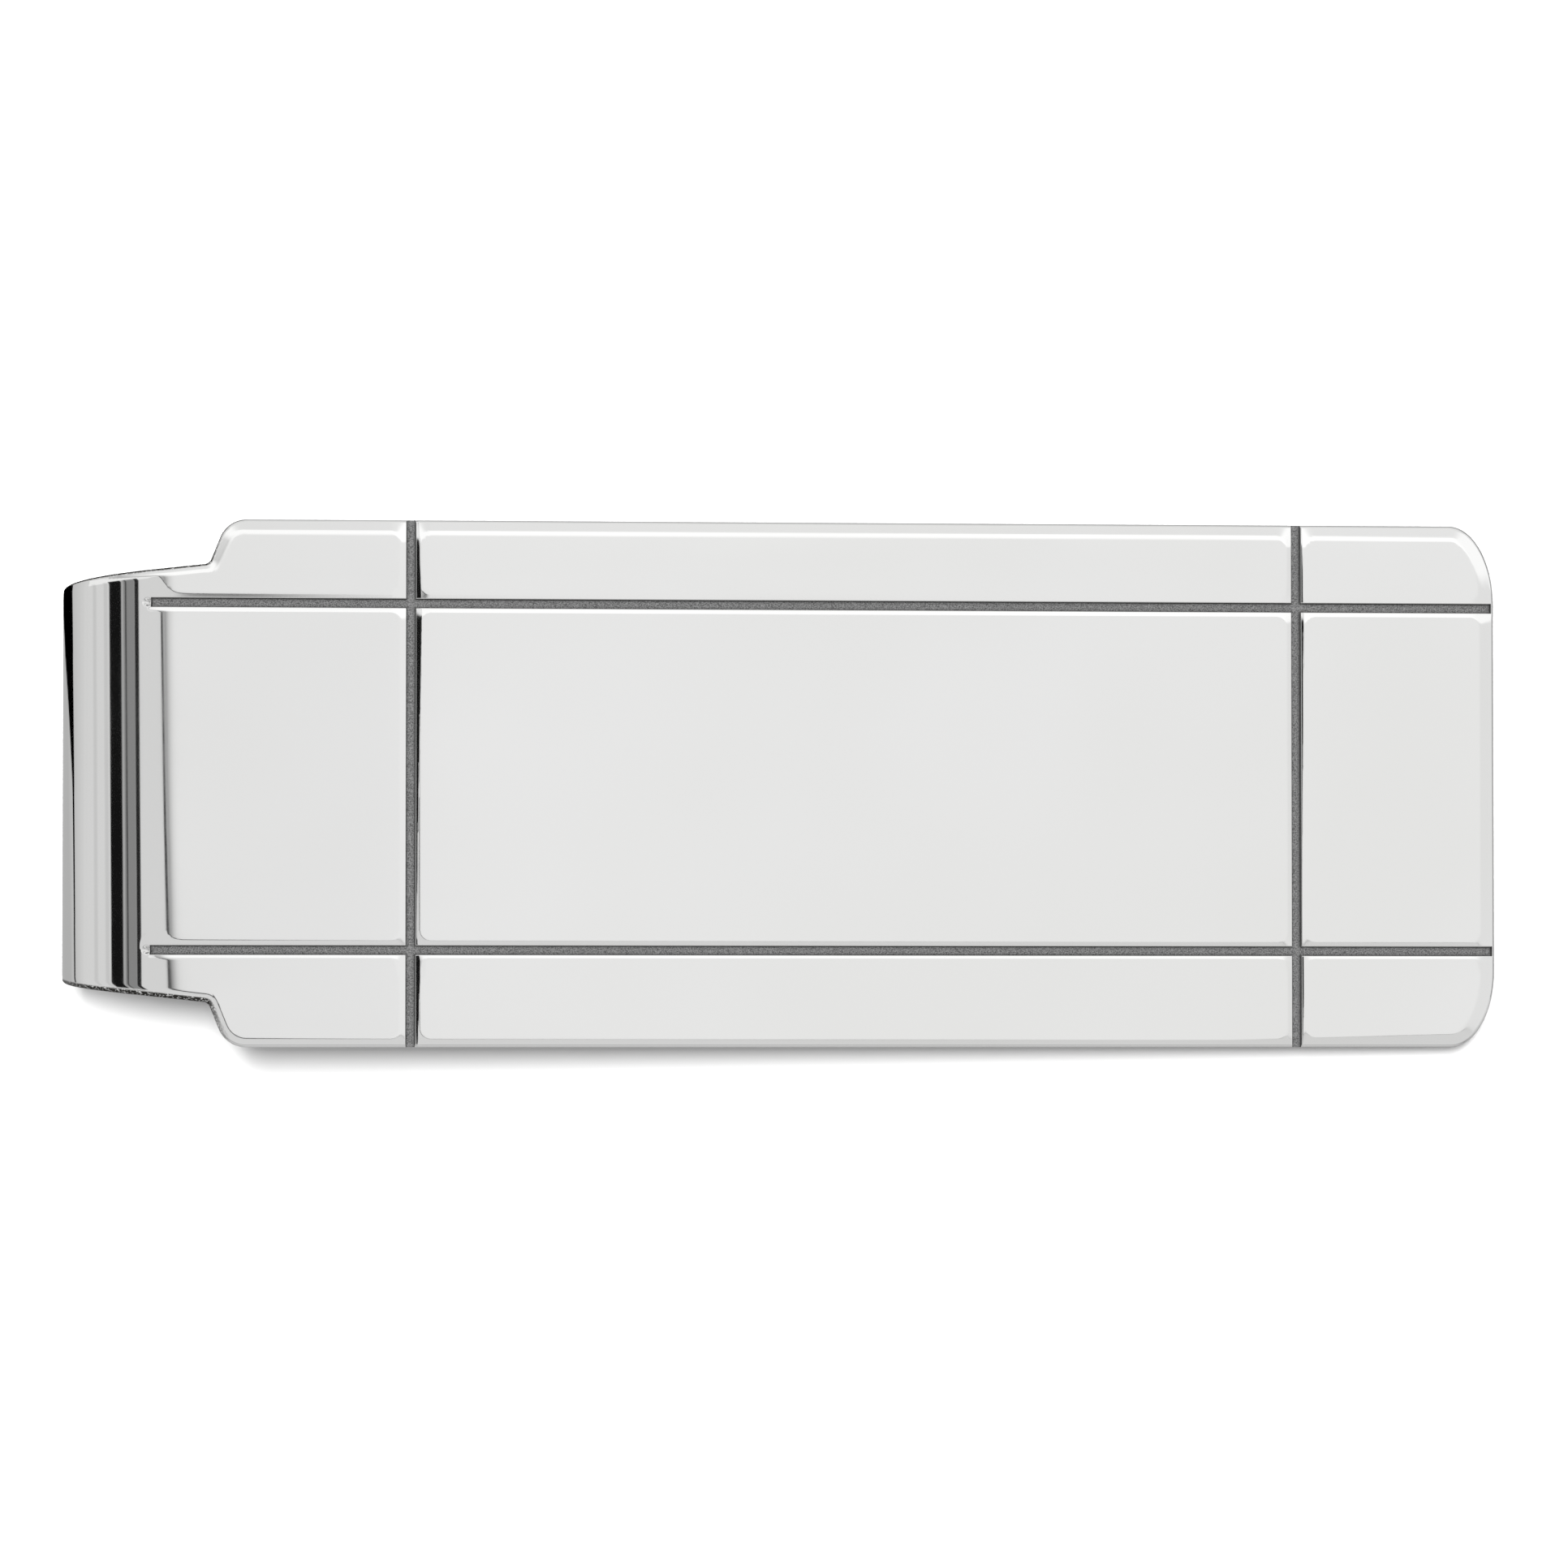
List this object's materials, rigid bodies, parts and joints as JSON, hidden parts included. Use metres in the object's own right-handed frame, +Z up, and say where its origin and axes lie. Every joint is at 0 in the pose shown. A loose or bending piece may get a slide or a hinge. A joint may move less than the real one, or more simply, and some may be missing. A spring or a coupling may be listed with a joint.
{
  "type": "money clip",
  "caption": "Fold-over money clip: a flat grooved face plate, a rolled spring fold and a tapered back tongue that grips folded notes.",
  "frame": {"origin": "on the table under the middle of the clip's box, as the clip rests on the round of its fold and on its tongue's lip", "axes": "+X from the fold to the free end, +Y across the clip, +Z up; the face plate falls towards +X by 6.4 degrees"},
  "size_m": [0.052, 0.019, 0.0074],
  "materials": {
    "polished_strip": "mirror polished, bright silver colour",
    "groove": "dark grey, satin and finely grained"
  },
  "bodies": {
    "face": {"front_plate": "polished_strip", "fold": "polished_strip"},
    "tongue": {"back_tongue": "polished_strip"}
  },
  "joints": [
    {"name": "tongue_flex", "type": "hinge", "parent": "tongue", "child": "face", "pos_m": [-0.02235, 0, 0.0037], "axis": [0, -1, 0], "range_deg": [0, 7], "stiffness_Nm_per_rad": 4.3, "springref_deg": -1.72, "deforming": ["fold"]}
  ]
}
